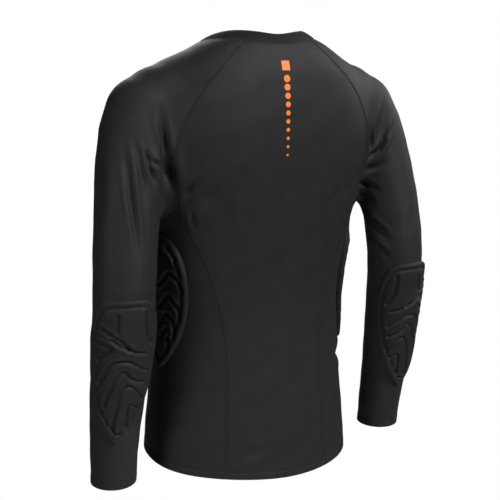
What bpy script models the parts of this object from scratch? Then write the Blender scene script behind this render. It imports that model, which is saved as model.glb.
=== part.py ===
# Padded compression shirt with raglan sleeves, in the hollow shape that it has when it is worn.
# The front faces -Y and the wearer's left arm is at +X. The origin is the middle of the neck opening.
# Every cloth piece is a wall on one worn shape: a torso of rounded sections, joined softly to two arms.

from collections import namedtuple

import bmesh
import bpy
import numpy as np
from mathutils.bvhtree import BVHTree

# Cloth, seams and pads
CLOTH_WALL = 0.0015
COLLAR_WALL = 0.0022
SEAM_GAP = 0.0003
PAD_GAP = 0.0009
RAY_START = 0.010
SOFT_JOIN = 0.036
WALK_STEPS = 60
SETTLE_STEPS = 12
RELAX_ROUNDS = 16

# Finishes
CLOTH_COLOUR = (0.021, 0.021, 0.022)
CLOTH_ROUGHNESS = 0.62
PAD_COLOUR = (0.024, 0.024, 0.025)
PAD_ROUGHNESS = 0.70
RIB_COLOUR = (0.018, 0.018, 0.019)
RIB_ROUGHNESS = 0.75

# Torso sections from above the neck down to below the hem. Roundness is 2 for an ellipse and more
# for a squarer section.
TorsoSection = namedtuple("TorsoSection", "height half_width front back roundness")
TORSO = (
    TorsoSection(0.006, 0.030, 0.030, 0.064, 2.20),
    TorsoSection(-0.003, 0.062, 0.008, 0.092, 2.20),
    TorsoSection(-0.014, 0.094, -0.010, 0.108, 2.20),
    TorsoSection(-0.030, 0.124, -0.028, 0.118, 2.25),
    TorsoSection(-0.052, 0.152, -0.046, 0.127, 2.40),
    TorsoSection(-0.087, 0.180, -0.076, 0.133, 2.65),
    TorsoSection(-0.132, 0.192, -0.104, 0.136, 2.90),
    TorsoSection(-0.190, 0.192, -0.124, 0.134, 2.95),
    TorsoSection(-0.250, 0.185, -0.126, 0.127, 2.70),
    TorsoSection(-0.330, 0.177, -0.118, 0.116, 2.40),
    TorsoSection(-0.430, 0.168, -0.110, 0.105, 2.25),
    TorsoSection(-0.540, 0.169, -0.110, 0.106, 2.25),
    TorsoSection(-0.640, 0.179, -0.114, 0.112, 2.25),
    TorsoSection(-0.760, 0.187, -0.116, 0.116, 2.25),
)

# Arm centre line and radius, from inside the shoulder to past the cuff
ArmStation = namedtuple("ArmStation", "x y z radius")
ARM = (
    ArmStation(0.148, 0.030, -0.100, 0.050),
    ArmStation(0.193, 0.037, -0.122, 0.057),
    ArmStation(0.219, 0.054, -0.188, 0.053),
    ArmStation(0.235, 0.070, -0.260, 0.048),
    ArmStation(0.244, 0.079, -0.330, 0.047),
    ArmStation(0.248, 0.080, -0.400, 0.046),
    ArmStation(0.251, 0.069, -0.480, 0.044),
    ArmStation(0.255, 0.055, -0.560, 0.041),
    ArmStation(0.256, 0.040, -0.640, 0.037),
    ArmStation(0.256, 0.030, -0.720, 0.035),
)
ARM_SEGMENTS = 18
CUFF_HEIGHT = -0.692

# Neckline seen from above, and the rib collar that stands on it
NECK_HALF_WIDTH = 0.095
NECK_MIDDLE = 0.030
NECK_BACK_REACH = 0.083
NECK_FRONT_REACH = 0.090
COLLAR_INSET = 0.0135
COLLAR_RISE = 0.0150
COLLAR_SIDE_LEAN = 0.0052
COLLAR_BULGE = 0.0015
COLLAR_COLUMNS = 40
COLLAR_ROWS = 3

# Hem: it hangs lower at the back, and the wearer's left side is pulled up a little
HEM_MIDDLE = -0.6945
HEM_BACK_DROP = 0.0195
HEM_LEFT_RISE = 0.0135

# Raglan seams, from the neckline down to the underarm's corners, and how far the underarm dips between
RaglanPoint = namedtuple("RaglanPoint", "height back_x front_x")
RAGLAN = (
    RaglanPoint(-0.050, 0.098, 0.086),
    RaglanPoint(-0.085, 0.131, 0.115),
    RaglanPoint(-0.125, 0.155, 0.137),
    RaglanPoint(-0.165, 0.168, 0.150),
    RaglanPoint(-0.208, 0.170, 0.160),
    RaglanPoint(-0.256, 0.160, 0.160),
)
RAGLAN_BACK_ANGLE = 52
RAGLAN_FRONT_ANGLE = -38
UNDERARM_DROP = 0.038

# Sleeve sheets: curved slices that cut the sleeve's rings, given in the plane of x and z.
# Each runs from the body side of the arm to its outer side, and bulge bends it towards the arm.
# The first lies near the raglan seam, and the rings near it follow the seam.
Sheet = namedtuple("Sheet", "inner_x inner_z outer_x outer_z bulge back_shift")
SLEEVE_SHEETS = (
    Sheet(0.186, -0.276, 0.082, -0.014, 0.026, 0.030),
    Sheet(0.189, -0.277, 0.124, -0.004, 0.024, 0.032),
    Sheet(0.192, -0.279, 0.178, -0.030, 0.018, 0.036),
    Sheet(0.195, -0.284, 0.226, -0.070, 0.010, 0.045),
    Sheet(0.197, -0.294, 0.260, -0.130, 0.004, 0.055),
    Sheet(0.199, -0.309, 0.280, -0.205, 0.000, 0.065),
    Sheet(0.202, -0.335, 0.294, -0.275, 0.000, 0.072),
    Sheet(0.207, -0.385, 0.301, -0.350, 0.000, 0.077),
    Sheet(0.212, -0.440, 0.301, -0.430, 0.000, 0.072),
    Sheet(0.217, -0.520, 0.302, -0.520, 0.000, 0.059),
    Sheet(0.221, -0.610, 0.298, -0.610, 0.000, 0.042),
    Sheet(0.224, CUFF_HEIGHT, 0.296, CUFF_HEIGHT, 0.000, 0.030),
)
SLEEVE_RINGS = 22
SEAM_FADE = 0.38
EVEN_TURNS_FROM = 0.45

# Mesh counts that neighbours share, so that their edges meet point by point
RAGLAN_STEPS = 7
NECK_SIDE_STEPS = 4
UNDERARM_STEPS = 8
SHARP_ANGLE = np.radians(50)
MIDDLE_COLUMNS = 12
BODY_ROWS = 17

# Long body seams, by height and by the angle round the torso: 0 at the wearer's side, 90 at the back
SeamPoint = namedtuple("SeamPoint", "height back_angle front_angle")
BODY_SEAM = (
    SeamPoint(-0.300, 31, -29),
    SeamPoint(-0.340, 36, -33),
    SeamPoint(-0.420, 43, -40),
    SeamPoint(-0.500, 47, -44),
    SeamPoint(-0.600, 48, -45),
    SeamPoint(-0.740, 48, -45),
)

# Flex pads: rounded wide top, rounded point below, pressed channels across
Pad = namedtuple("Pad", "top bottom turn half_turn widest thickness edge channel columns")
ELBOW_PAD = Pad(-0.376, -0.606, 73, 74, 0.30, 0.0060, 0.0014, 0.0036, 12)
SIDE_PAD = Pad(-0.301, -0.522, 8, 19, 0.32, 0.0070, 0.0014, 0.0042, 10)
# The wearer's right forearm is turned a little further, and its pad with it
RIGHT_ELBOW_EXTRA_TURN = 14
PAD_ROWS = 30
PAD_CHANNEL_ROWS = (4, 9, 13, 17, 21, 25)
TOP_CORNER_DROP = 0.07

# Largest folds of the cloth: a soft trough from start to end, with its half width and its depth
Fold = namedtuple("Fold", "start end width depth")
FOLDS = (
    Fold((0.255, 0.086, -0.165), (0.258, 0.119, -0.292), 0.010, 0.0036),
    Fold((0.243, 0.098, -0.172), (0.240, 0.114, -0.238), 0.009, 0.0030),
    Fold((0.208, 0.085, -0.100), (0.214, 0.104, -0.170), 0.011, 0.0034),
    Fold((0.236, 0.036, -0.400), (0.262, 0.034, -0.432), 0.010, 0.0030),
    Fold((0.226, 0.020, -0.180), (0.222, 0.030, -0.262), 0.012, 0.0032),
    Fold((-0.176, 0.101, -0.192), (-0.181, 0.101, -0.130), 0.009, 0.0036),
    Fold((-0.190, 0.101, -0.205), (-0.208, 0.088, -0.108), 0.010, 0.0038),
    Fold((-0.196, 0.102, -0.215), (-0.228, 0.091, -0.132), 0.010, 0.0030),
    Fold((-0.182, 0.080, -0.255), (-0.221, 0.118, -0.356), 0.011, 0.0044),
    Fold((-0.206, 0.096, -0.262), (-0.232, 0.118, -0.318), 0.010, 0.0030),
    Fold((-0.234, 0.036, -0.395), (-0.262, 0.036, -0.418), 0.010, 0.0034),
    Fold((0.114, 0.120, -0.210), (0.138, 0.102, -0.262), 0.012, 0.0028),
    Fold((0.128, 0.116, -0.200), (0.112, 0.100, -0.325), 0.012, 0.0024),
    Fold((-0.138, 0.108, -0.248), (-0.120, 0.112, -0.300), 0.012, 0.0024),
    Fold((-0.125, 0.074, -0.546), (-0.172, -0.010, -0.536), 0.012, 0.0060),
    Fold((0.150, -0.092, -0.196), (0.112, -0.118, -0.250), 0.012, 0.0032),
    Fold((-0.152, -0.092, -0.205), (-0.118, -0.116, -0.268), 0.012, 0.0030),
    Fold((0.060, -0.108, -0.520), (0.132, -0.078, -0.560), 0.014, 0.0026),
)


def smooth(at, known, values):
    """A smooth curve through a short table: cubic pieces whose slopes follow their neighbours."""
    known = np.asarray(known, float)
    values = np.asarray(values, float)
    if known[0] > known[-1]:
        known = known[::-1]
        values = values[::-1]
    slopes = np.gradient(values, known)
    at = np.clip(at, known[0], known[-1])
    cell = np.clip(np.searchsorted(known, at) - 1, 0, len(known) - 2)
    width = known[cell + 1] - known[cell]
    t = (at - known[cell]) / width
    rise = values[cell] * (1 + 2 * t) * (1 - t) ** 2 + values[cell + 1] * t * t * (3 - 2 * t)
    return rise + width * t * (1 - t) * (slopes[cell] * (1 - t) - slopes[cell + 1] * t)


def column(table, name):
    return [getattr(row, name) for row in table]


def torso_reach(points):
    """How far a point lies outside the torso, measured level from the torso's middle line."""
    height = points[..., 2]
    heights = column(TORSO, "height")
    half_width = smooth(height, heights, column(TORSO, "half_width"))
    front = smooth(height, heights, column(TORSO, "front"))
    back = smooth(height, heights, column(TORSO, "back"))
    across = points[..., 0]
    along = points[..., 1] - (front + back) / 2
    depth = (back - front) / 2
    roundness = smooth(height, heights, column(TORSO, "roundness"))
    power = np.abs(across / half_width) ** roundness + np.abs(along / depth) ** roundness
    share = np.maximum(power, 1e-6) ** (1 / roundness)
    above = np.maximum(height - TORSO[0].height, 0)
    return np.hypot(across, along) * (1 - 1 / share) + above


def torso_distance(points):
    """torso_reach made close to a true distance where the shoulders slope."""
    step = np.array([0.0, 0.0, 0.002])
    slope = (torso_reach(points + step) - torso_reach(points - step)) / 0.004
    return torso_reach(points) / np.sqrt(1 + slope**2)


def arm_line():
    """The arm's centre line and radius, at even steps between its stations."""
    known = np.arange(len(ARM))
    at = np.linspace(0, len(ARM) - 1, ARM_SEGMENTS + 1)
    return np.stack([smooth(at, known, column(ARM, name)) for name in ArmStation._fields], axis=-1)


ARM_LINE = arm_line()


def arm_distance(points):
    """The distance to the nearest of the tapered lengths that the arm is made of."""
    start = ARM_LINE[:-1, :3]
    run = np.diff(ARM_LINE[:, :3], axis=0)
    away = points[..., None, :] - start
    t = np.clip((away * run).sum(axis=-1) / (run * run).sum(axis=-1), 0, 1)
    radius = ARM_LINE[:-1, 3] + t * np.diff(ARM_LINE[:, 3])
    return (np.linalg.norm(away - t[..., None] * run, axis=-1) - radius).min(axis=-1)


def body_distance(points):
    """The worn shape: torso and arms in a soft union. Below zero is inside."""
    points = np.stack([np.abs(points[..., 0]), points[..., 1], points[..., 2]], axis=-1)
    torso = torso_distance(points)
    arm = arm_distance(points)
    share = np.clip(0.5 + 0.5 * (torso - arm) / SOFT_JOIN, 0, 1)
    return torso + share * (arm - torso) - SOFT_JOIN * share * (1 - share)


def outward(points):
    """Unit normals of the worn shape."""
    steps = np.eye(3) * 0.001
    parts = [body_distance(points + step) - body_distance(points - step) for step in steps]
    normal = np.stack(parts, axis=-1)
    return normal / np.linalg.norm(normal, axis=-1, keepdims=True)


def fold_depth(points):
    """How deep the folds press the cloth in: each fades to its ends and to both sides."""
    depth = np.zeros(points.shape[:-1])
    for fold in FOLDS:
        start = np.array(fold.start)
        run = np.array(fold.end) - start
        t = ((points - start) @ run) / (run @ run)
        nearest = start + np.clip(t, 0, 1)[..., None] * run
        aside = np.linalg.norm(points - nearest, axis=-1) / fold.width
        along = np.clip(4 * t * (1 - t), 0, 1) ** 0.5
        depth = depth + fold.depth * along * np.exp(-(aside**2))
    return depth


def walk(anchor, ray, reach, distance=body_distance):
    """Moves points along unit rays, by their distance from the worn shape, until they lie on it."""
    for _ in range(WALK_STEPS):
        reach = reach - distance(anchor + ray * reach[..., None])
    return anchor + ray * reach[..., None]


def settle(points):
    """Moves points that lie near the worn shape straight onto it."""
    for _ in range(SETTLE_STEPS):
        points = points - body_distance(points)[..., None] * outward(points)
    return points


def torso_point(angle, height, distance=body_distance):
    """A point of the body cloth at an angle round the torso and a height."""
    angle, height = np.broadcast_arrays(np.radians(angle), height)
    level = 0 * height
    anchor = np.stack([level, level, height], axis=-1)
    ray = np.stack([np.cos(angle), np.sin(angle), level], axis=-1)
    return walk(anchor, ray, level + 0.08, distance)


def arm_point(angle, height):
    """A point of the sleeve at an angle round the arm and a height."""
    angle, height = np.broadcast_arrays(np.radians(angle), height)
    heights = column(ARM, "z")
    centre_x = smooth(height, heights, column(ARM, "x"))
    centre_y = smooth(height, heights, column(ARM, "y"))
    anchor = np.stack([centre_x, centre_y, height], axis=-1)
    ray = np.stack([np.cos(angle), np.sin(angle), 0 * height], axis=-1)
    return walk(anchor, ray, 0 * height + 0.02)


def hem_height(angle, side=1):
    """The hem's height at an angle round the torso. On the wearer's right, side is -1."""
    turn = np.radians(angle)
    return HEM_MIDDLE - HEM_BACK_DROP * np.sin(turn) + side * HEM_LEFT_RISE * np.cos(turn)


def neckline_point(angle):
    """A point of the neckline at an angle round it, on the upper side of the worn shape."""
    turn = np.radians(np.asarray(angle, float))
    depth = np.where(np.sin(turn) > 0, NECK_BACK_REACH, NECK_FRONT_REACH)
    x = NECK_HALF_WIDTH * np.cos(turn)
    anchor = np.stack([x, NECK_MIDDLE + depth * np.sin(turn), 0 * turn - 0.15], axis=-1)
    return walk(anchor, np.array([0.0, 0.0, 1.0]), 0 * turn)


def sheets_at(positions):
    """Sleeve sheets at positions from 0, the raglan seam, to 1, the cuff, one for each row of points."""
    known = np.linspace(0, 1, len(SLEEVE_SHEETS))
    at = np.asarray(positions, float)[:, None]
    return Sheet(*[smooth(at, known, column(SLEEVE_SHEETS, name)) for name in Sheet._fields])


def sheet_points(sheet, turn, reach):
    """Points of sheets at turns round their middles: 0 towards the outer end, a quarter to the back."""
    run_x = sheet.outer_x - sheet.inner_x
    run_z = sheet.outer_z - sheet.inner_z
    span = np.hypot(run_x, run_z)
    along = 0.5 + reach * np.cos(turn) / span
    bend = sheet.bulge * 4 * along * (1 - along) / span
    x = sheet.inner_x + along * run_x + bend * run_z
    y = sheet.back_shift + reach * np.sin(turn)
    z = sheet.inner_z + along * run_z - bend * run_x
    return np.stack([x, y, z], axis=-1)


def sleeve_rings(positions, turn):
    """The closed rings in which sheets cut the worn shape, one row for each position."""
    sheet = sheets_at(positions)
    reach = 0 * turn + 0.01
    for _ in range(2 * WALK_STEPS):
        reach = reach - 0.8 * body_distance(sheet_points(sheet, turn, reach))
    return sheet_points(sheet, turn, reach)


def raglan_seam(name, neck_angle, toward):
    """A raglan seam from the neckline down to the underarm, on the back or the front of the shape."""
    neck = neckline_point(neck_angle)
    known = np.arange(len(RAGLAN) + 1)
    at = np.linspace(0, len(RAGLAN), RAGLAN_STEPS + 1)
    x = smooth(at, known, [neck[0]] + column(RAGLAN, name))
    z = smooth(at, known, [neck[2]] + column(RAGLAN, "height"))
    anchor = np.stack([x, 0 * x + NECK_MIDDLE, z], axis=-1)
    points = walk(anchor, np.array([0.0, toward, 0.0]), 0 * x)
    points[0] = neck
    return points


def mirrored(points):
    return points * [-1, 1, 1]


def place_angle(point):
    return np.degrees(np.arctan2(point[1], point[0]))


def even_steps(line, steps):
    """A line of points redrawn with even steps along its length."""
    length = np.append(0, np.cumsum(np.linalg.norm(np.diff(line, axis=0), axis=-1)))
    at = np.linspace(0, length[-1], steps + 1)
    return np.stack([np.interp(at, length, line[:, axis]) for axis in range(3)], axis=-1)


def raglan_ring():
    """The sleeve's first ring: up the back raglan seam, along the neckline, down the front seam and
    back along the underarm."""
    back = raglan_seam("back_x", RAGLAN_BACK_ANGLE, 1.0)[::-1]
    front = raglan_seam("front_x", RAGLAN_FRONT_ANGLE, -1.0)
    side = neckline_point(np.linspace(RAGLAN_BACK_ANGLE, RAGLAN_FRONT_ANGLE, NECK_SIDE_STEPS + 1))
    t = np.linspace(0, 1, 4 * UNDERARM_STEPS + 1)
    angle = (1 - t) * place_angle(front[-1]) + t * place_angle(back[0])
    height = (1 - t) * front[-1][2] + t * back[0][2] - UNDERARM_DROP * 4 * t * (1 - t)
    under = even_steps(settle(torso_point(angle, height, torso_distance)), UNDERARM_STEPS)
    return np.concatenate([back, side[1:-1], front, under[1:-1]])


RAGLAN_RING = raglan_ring()


def ring_turns():
    """The turns round the first sheet's middle at which the raglan ring's points lie."""
    sheet = SLEEVE_SHEETS[0]
    run = np.array([sheet.outer_x - sheet.inner_x, sheet.outer_z - sheet.inner_z])
    inner = np.array([sheet.inner_x, sheet.inner_z])
    along = (RAGLAN_RING[:, [0, 2]] - inner - run / 2) @ run / np.hypot(*run)
    turns = np.arctan2(RAGLAN_RING[:, 1] - sheet.back_shift, along)
    return np.unwrap(turns)


def sleeve_grid():
    """Rows of points down the sleeve: the raglan ring, then rings whose turns become even."""
    turns = ring_turns()
    count = len(turns)
    even = turns[0] - 2 * np.pi * np.arange(count) / count
    positions = np.linspace(0, 1, SLEEVE_RINGS)
    share = np.clip(positions / EVEN_TURNS_FROM, 0, 1)[:, None]
    share = share * share * (3 - 2 * share)
    rings = sleeve_rings(positions, turns + share * (even - turns))
    fade = np.clip(1 - positions / SEAM_FADE, 0, 1)[:, None, None] ** 2
    grid = rings + fade * (RAGLAN_RING - rings[0])
    grid[0] = RAGLAN_RING
    return relax(grid, True)


def relax(grid, tube):
    """Evens out a grid on the worn shape, with its edge rows kept. A tube's columns join round."""
    for _ in range(RELAX_ROUNDS):
        middle = grid[1:-1]
        beside = np.roll(middle, 1, axis=1) + np.roll(middle, -1, axis=1)
        even = (grid[:-2] + grid[2:] + beside) / 4
        if not tube:
            even[:, [0, -1]] = middle[:, [0, -1]]
        grid = grid.copy()
        grid[1:-1] = (middle + even) / 2
        grid[1:-1] -= body_distance(grid[1:-1])[..., None] * outward(grid[1:-1])
    return np.concatenate([grid[:1], settle(grid[1:-1]), grid[-1:]])


def patch(left, right, bottom, top):
    """A grid between four edges: a Coons patch, laid out onto the worn shape."""
    across = np.linspace(0, 1, len(bottom))[None, :, None]
    up = np.linspace(0, 1, len(left))[:, None, None]
    sides = (1 - across) * left[:, None] + across * right[:, None]
    ends = (1 - up) * bottom[None] + up * top[None]
    low_corners = (1 - across) * bottom[0] + across * bottom[-1]
    high_corners = (1 - across) * top[0] + across * top[-1]
    return relax(settle(sides + ends - (1 - up) * low_corners - up * high_corners), False)


def body_seam(name, corner, side):
    """A long body seam, from the hem up to a corner of the underarm, drawn on the wearer's left."""
    heights = [corner[2]] + column(BODY_SEAM, "height")
    angles = [place_angle(corner)] + column(BODY_SEAM, name)
    at = np.linspace(hem_height(angles[-1], side), corner[2], BODY_ROWS + 1)
    points = torso_point(smooth(at, heights, angles), at)
    points[-1] = corner
    return points


def middle_grid(name, raglan, neck_angle):
    """The back or front panel as rows of points from the hem up, from the wearer's left to right."""
    left = np.concatenate([body_seam(name, raglan[0], 1), raglan[1:]])
    right = mirrored(np.concatenate([body_seam(name, raglan[0], -1), raglan[1:]]))
    half_turn = np.sign(neck_angle) * 90
    across = np.linspace(-1, 1, MIDDLE_COLUMNS + 1)
    hem_angle = half_turn + across * (half_turn - place_angle(left[0]))
    hem = torso_point(hem_angle, hem_height(hem_angle))
    neck = neckline_point(half_turn + across * (half_turn - neck_angle))
    return patch(left, right, hem, neck)


def side_grid(back_corner, front_corner, underarm, side):
    """A side panel as rows of points from the hem up, from the back to the front, drawn on the left."""
    back = body_seam("back_angle", back_corner, side)
    front = body_seam("front_angle", front_corner, side)
    angle = np.linspace(place_angle(back[0]), place_angle(front[0]), UNDERARM_STEPS + 1)
    return patch(back, front, torso_point(angle, hem_height(angle, side)), underarm)


def inset(grid, edges, distance=SEAM_GAP / 2):
    """Draws the named edges of a grid in towards their neighbours, for half of a seam's gap."""
    places = {
        "first_row": (np.s_[0], np.s_[1]),
        "last_row": (np.s_[-1], np.s_[-2]),
        "first_column": (np.s_[:, 0], np.s_[:, 1]),
        "last_column": (np.s_[:, -1], np.s_[:, -2]),
    }
    moved = grid.copy()
    for edge in edges:
        here, beside = places[edge]
        step = grid[beside] - grid[here]
        moved[here] += distance * step / np.linalg.norm(step, axis=-1, keepdims=True)
    return moved


def collar_grids():
    """The outer and inner points of the rib collar, as rows from the seam up to the free edge."""
    angle = np.arange(COLLAR_COLUMNS) * 360 / COLLAR_COLUMNS
    seam = neckline_point(angle)
    away = (seam - [0, NECK_MIDDLE, 0]) * [1, 1, 0]
    away /= np.linalg.norm(away, axis=-1, keepdims=True)
    up = np.linspace(0, 1, COLLAR_ROWS + 1)[:, None, None]
    lift = np.array([0.0, 0.0, 1.0])
    lean = (COLLAR_SIDE_LEAN * np.cos(np.radians(angle)) ** 2)[:, None]
    rise = (COLLAR_RISE - lean) * lift - (COLLAR_INSET + lean) * away
    outer = seam + SEAM_GAP * lift + up * rise
    outer = outer + COLLAR_BULGE * 4 * up * (1 - up) * away
    slope = np.arctan2(COLLAR_INSET, COLLAR_RISE)
    tilt = up * slope
    inner = outer - COLLAR_WALL * (np.cos(tilt) * away + np.sin(tilt) * lift)
    return outer, inner


def pad_coordinates(columns):
    """A pad's grid: s runs across from -1 to 1 and t down from 0 to 1. bent is t with its rows rounded
    off at the top corners, slanted in the upper half and arched in the lower half, as the pad's
    channels run."""
    s = np.linspace(-1, 1, columns + 1)[None, :]
    t = np.linspace(0, 1, PAD_ROWS + 1)[:, None]
    ends = 4 * t * (1 - t)
    arch = 0.085 * ends * smooth(t, (0, 0.3, 0.5, 0.8, 1), (0, 0.1, 0.9, 1.1, 0.6))
    slant = 0.06 * ends * smooth(t, (0, 0.2, 0.32, 0.45, 1), (0, 0.5, 1.0, 0.2, 0))
    bent = t + arch * (1.6 * np.abs(s) ** 1.7 - 0.6) + slant * s
    bent = bent + TOP_CORNER_DROP * np.clip(1 - t / 0.3, 0, 1) * np.abs(s) ** 4
    return s + 0 * t, t + 0 * s, bent


def pad_width(t, widest):
    """A pad's half width along its length, as a share: round and wide above, drawn to a blunt point."""
    above = np.clip(1 - t / widest, 0, 1)
    below = np.clip((t - widest) / (1 - widest), 0, 1)
    top = (1 - 0.40 * above**2) ** 0.5
    bottom = (1 - 0.985 * below**2.2) ** 0.85
    return np.where(t < widest, top, bottom)


def facet_heights(cloth, points, normal):
    """How far the facets of a cloth piece stand over points of the worn shape, found by rays from
    outside. Each point takes the highest of its neighbours, and the result is evened out."""
    corners = [corner.co for corner in cloth.data.vertices]
    tree = BVHTree.FromPolygons(corners, [tuple(face.vertices) for face in cloth.data.polygons])
    heights = np.zeros(points.shape[:-1])
    for place in np.ndindex(heights.shape):
        start = points[place] + RAY_START * normal[place]
        distance = tree.ray_cast(start, -normal[place])[3]
        if distance is not None:
            heights[place] = RAY_START - distance
    rows, columns = heights.shape
    for combine in (np.max, np.mean):
        framed = np.pad(heights, 1, mode="edge")
        shifts = [framed[i : i + rows, j : j + columns] for i in range(3) for j in range(3)]
        heights = combine(shifts, axis=0)
    return heights


def pad_grids(pad, place, side, cloth):
    """The outer and inner points of a pad on its cloth, with its channels pressed into the outside."""
    s, t, bent = pad_coordinates(pad.columns)
    height = pad.top + (pad.bottom - pad.top) * bent
    level = place(pad.turn + pad.half_turn * pad_width(t, pad.widest) * s, height)
    normal = outward(level)
    turned = np.array([side, 1, 1])
    lift = facet_heights(cloth, level * turned, normal * turned) + PAD_GAP
    across = 1 - np.abs(s)
    down = 2 * np.minimum(t, 1 - t)
    rim = (1 - (1 - np.clip(across / 0.30, 0, 1)) ** 2) * (1 - (1 - np.clip(down / 0.16, 0, 1)) ** 2)
    steps = np.abs(t[..., None] * PAD_ROWS - np.array(PAD_CHANNEL_ROWS)).min(axis=-1)
    pressed = pad.channel * np.clip(1 - steps, 0, 1) * np.clip(across / 0.2, 0, 1) * rim
    raised = pad.edge + (pad.thickness - pad.edge) * rim - pressed
    inner = level + lift[..., None] * normal
    return (inner + raised[..., None] * normal) * turned, inner * turned


def make_material(name, colour, roughness):
    material = bpy.data.materials.new(name)
    material.use_nodes = True
    shader = material.node_tree.nodes["Principled BSDF"]
    shader.inputs["Base Color"].default_value = (*colour, 1)
    shader.inputs["Roughness"].default_value = roughness
    shader.inputs["Metallic"].default_value = 0
    return material


def grid_faces(index):
    """Two triangles for each cell of a grid of point numbers, always across the same corners."""
    a, b, c, d = index[:-1, :-1], index[:-1, 1:], index[1:, 1:], index[1:, :-1]
    halves = [np.stack([a, b, c], axis=-1), np.stack([a, c, d], axis=-1)]
    return np.concatenate([half.reshape(-1, 3) for half in halves])


def make_wall(name, outer, inner, tube, colour, roughness, collection):
    """A closed wall between an outer and an inner grid of points. A tube's columns join round."""
    rows, columns = outer.shape[:2]
    count = rows * columns
    index = np.arange(count).reshape(rows, columns)
    rims = [index[0], index[-1]]
    if tube:
        index = np.column_stack([index, index[:, 0]])
        rims = [index[0], index[-1]]
    else:
        rims += [index[:, 0], index[:, -1]]
    faces = [grid_faces(index), grid_faces(index + count)]
    faces += [grid_faces(np.stack([rim, rim + count])) for rim in rims]
    points = np.concatenate([outer.reshape(-1, 3), inner.reshape(-1, 3)])
    mesh = bpy.data.meshes.new(name)
    mesh.from_pydata(points.tolist(), [], np.concatenate(faces).tolist())
    shape = bmesh.new()
    shape.from_mesh(mesh)
    bmesh.ops.recalc_face_normals(shape, faces=shape.faces)
    shape.to_mesh(mesh)
    shape.free()
    mesh.shade_smooth()
    mesh.set_sharp_from_angle(angle=SHARP_ANGLE)
    mesh.materials.append(make_material(name, colour, roughness))
    piece = bpy.data.objects.new(name, mesh)
    collection.objects.link(piece)
    return piece


def make_cloth(name, grid, tube, colour, roughness, collection):
    """A cloth piece whose outside is a grid on the worn shape, pressed in by the folds."""
    normal = outward(grid)
    outer = grid - fold_depth(grid)[..., None] * normal
    return make_wall(name, outer, outer - CLOTH_WALL * normal, tube, colour, roughness, collection)


def make_shirt():
    for leftover in list(bpy.data.objects):
        bpy.data.objects.remove(leftover)
    shirt = bpy.data.collections.new("padded_compression_shirt")
    bpy.context.scene.collection.children.link(shirt)

    front_start = RAGLAN_STEPS + NECK_SIDE_STEPS
    front_end = front_start + RAGLAN_STEPS
    back_raglan = RAGLAN_RING[: RAGLAN_STEPS + 1]
    front_raglan = RAGLAN_RING[front_start : front_end + 1][::-1]
    underarm = np.concatenate([RAGLAN_RING[front_end:], RAGLAN_RING[:1]])[::-1]
    seam_edges = ("first_column", "last_column")
    back = inset(middle_grid("back_angle", back_raglan, RAGLAN_BACK_ANGLE), seam_edges)
    front = inset(middle_grid("front_angle", front_raglan, RAGLAN_FRONT_ANGLE), seam_edges)
    make_cloth("back_panel", back, False, CLOTH_COLOUR, CLOTH_ROUGHNESS, shirt)
    make_cloth("front_panel", front, False, CLOTH_COLOUR, CLOTH_ROUGHNESS, shirt)

    sleeve = inset(sleeve_grid(), ("first_row",))
    for suffix, side, elbow_turn in (("left", 1, 0), ("right", -1, RIGHT_ELBOW_EXTRA_TURN)):
        turned = np.array([side, 1, 1])
        panel = side_grid(back_raglan[0], front_raglan[0], underarm, side)
        panel = inset(panel, seam_edges + ("last_row",))
        flank = make_cloth(
            "side_panel_" + suffix, panel * turned, False, CLOTH_COLOUR, CLOTH_ROUGHNESS, shirt
        )
        arm = make_cloth("sleeve_" + suffix, sleeve * turned, True, CLOTH_COLOUR, CLOTH_ROUGHNESS, shirt)
        elbow_pad = ELBOW_PAD._replace(turn=ELBOW_PAD.turn + elbow_turn)
        elbow = pad_grids(elbow_pad, arm_point, side, arm)
        make_wall("elbow_pad_" + suffix, *elbow, False, PAD_COLOUR, PAD_ROUGHNESS, shirt)
        hip = pad_grids(SIDE_PAD, torso_point, side, flank)
        make_wall("side_pad_" + suffix, *hip, False, PAD_COLOUR, PAD_ROUGHNESS, shirt)
    make_wall("collar", *collar_grids(), True, RIB_COLOUR, RIB_ROUGHNESS, shirt)


make_shirt()
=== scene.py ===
from functools import partial

import bpy
import numpy as np
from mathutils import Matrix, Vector


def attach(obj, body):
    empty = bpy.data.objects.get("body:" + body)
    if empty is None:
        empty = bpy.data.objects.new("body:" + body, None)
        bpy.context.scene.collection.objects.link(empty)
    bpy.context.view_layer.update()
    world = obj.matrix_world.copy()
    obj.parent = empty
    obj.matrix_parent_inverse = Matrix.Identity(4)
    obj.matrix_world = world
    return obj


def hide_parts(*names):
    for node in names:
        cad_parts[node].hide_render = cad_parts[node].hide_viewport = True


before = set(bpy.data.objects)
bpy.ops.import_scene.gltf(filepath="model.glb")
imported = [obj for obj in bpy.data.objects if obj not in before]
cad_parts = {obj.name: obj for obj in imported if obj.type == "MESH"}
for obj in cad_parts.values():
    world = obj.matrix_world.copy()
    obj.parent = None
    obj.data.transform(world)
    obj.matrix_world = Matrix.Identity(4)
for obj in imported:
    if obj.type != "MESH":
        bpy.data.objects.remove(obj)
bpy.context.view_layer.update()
print("frame loaded")

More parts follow.
